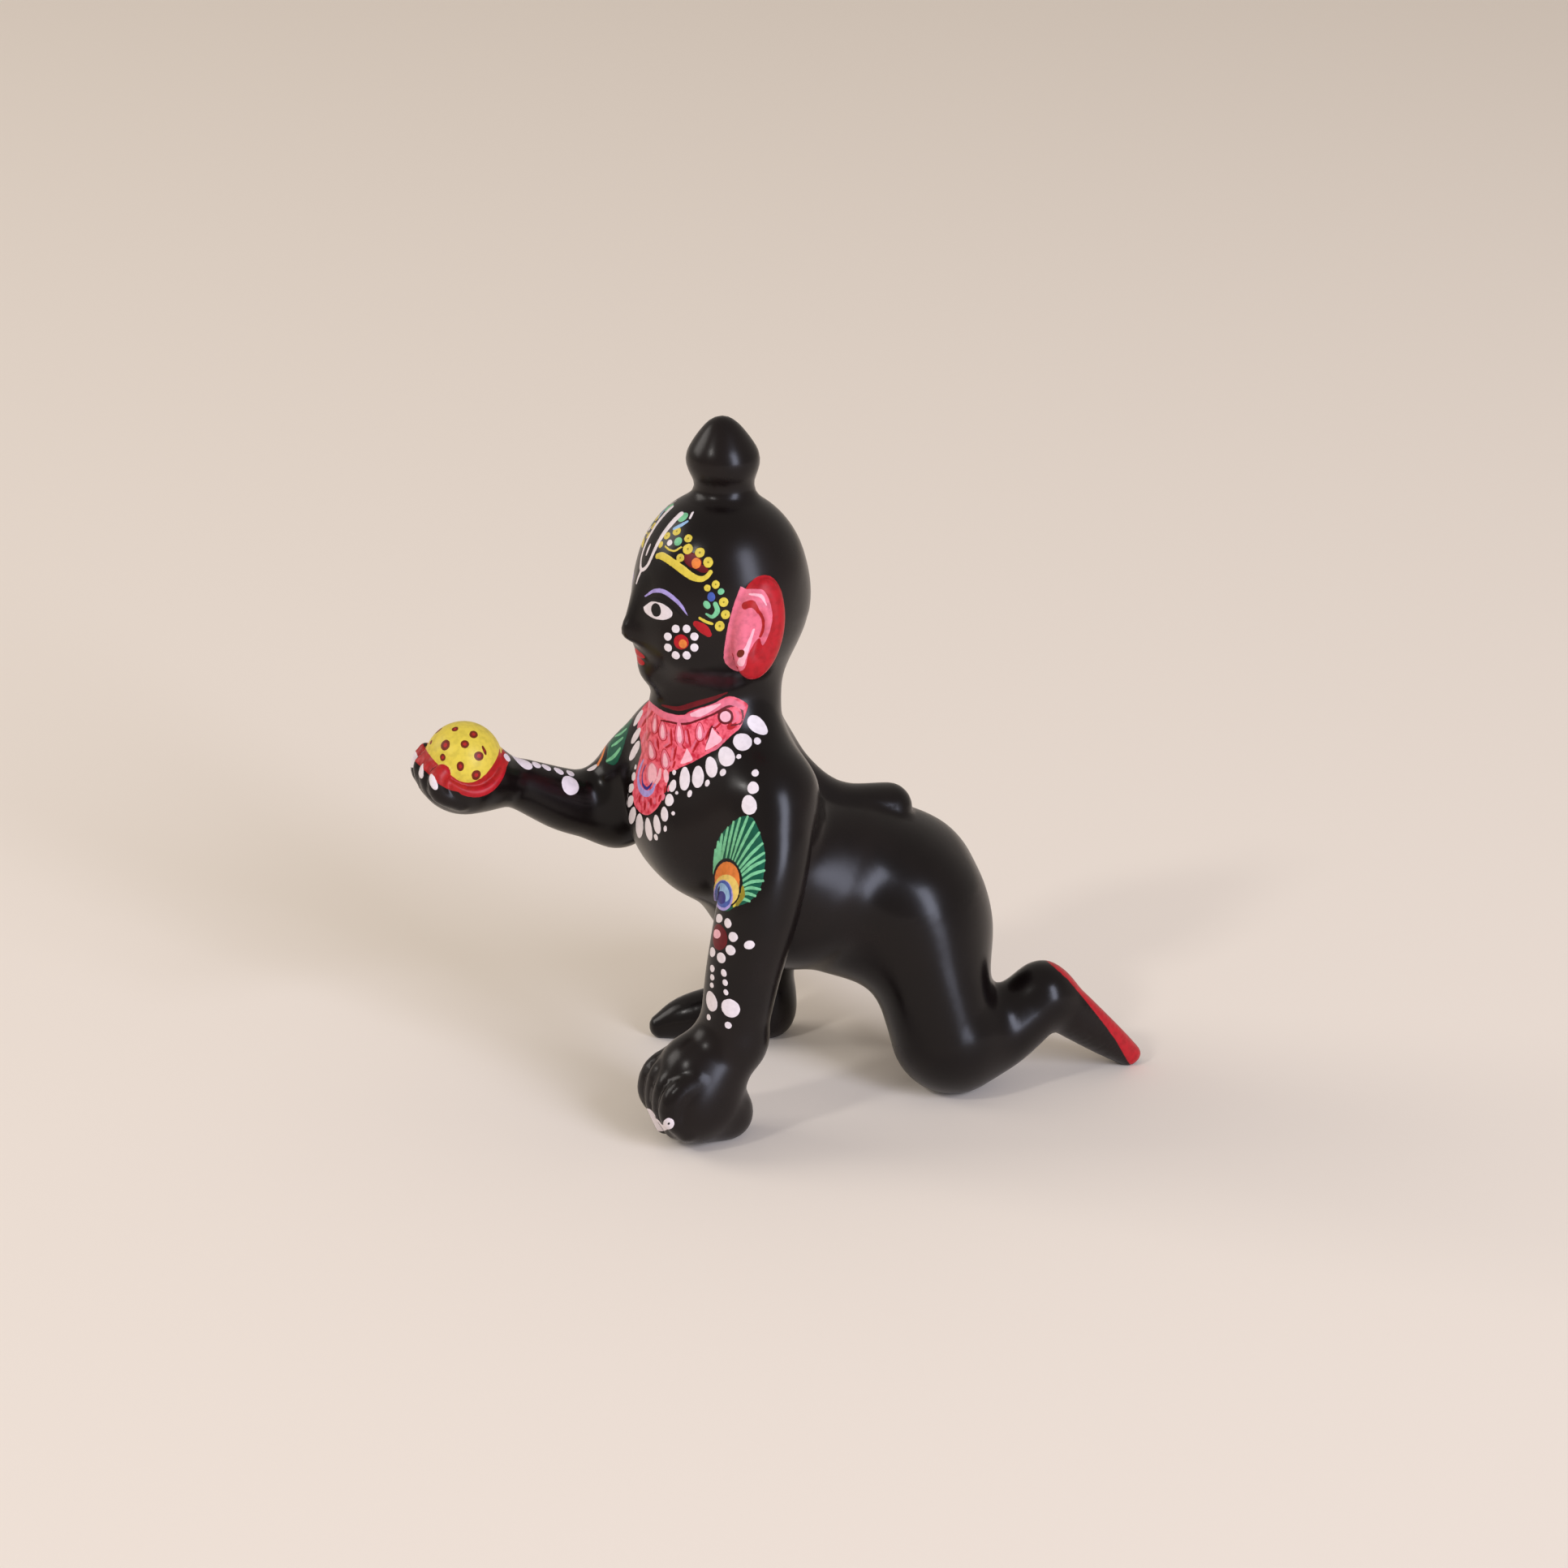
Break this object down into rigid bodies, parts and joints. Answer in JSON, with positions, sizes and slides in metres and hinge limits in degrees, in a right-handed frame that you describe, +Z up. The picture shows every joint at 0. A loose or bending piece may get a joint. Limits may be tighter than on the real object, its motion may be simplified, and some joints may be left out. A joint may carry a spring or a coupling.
{
  "type": "crawling child figurine",
  "caption": "Small cast figure of a crawling child with a hair knot and plait, resting on one hand and one knee and holding out a round sweet in its raised hand.",
  "frame": {"origin": "centre of the bounding box's footprint, on the plane the figure stands on", "axes": "the figure faces -Y, its left side is +X, +Z up"},
  "size_m": [0.0354, 0.0804, 0.08],
  "materials": {
    "black_enamel": "gloss"
  },
  "bodies": {
    "root": {"idol": "black_enamel"}
  },
  "joints": []
}
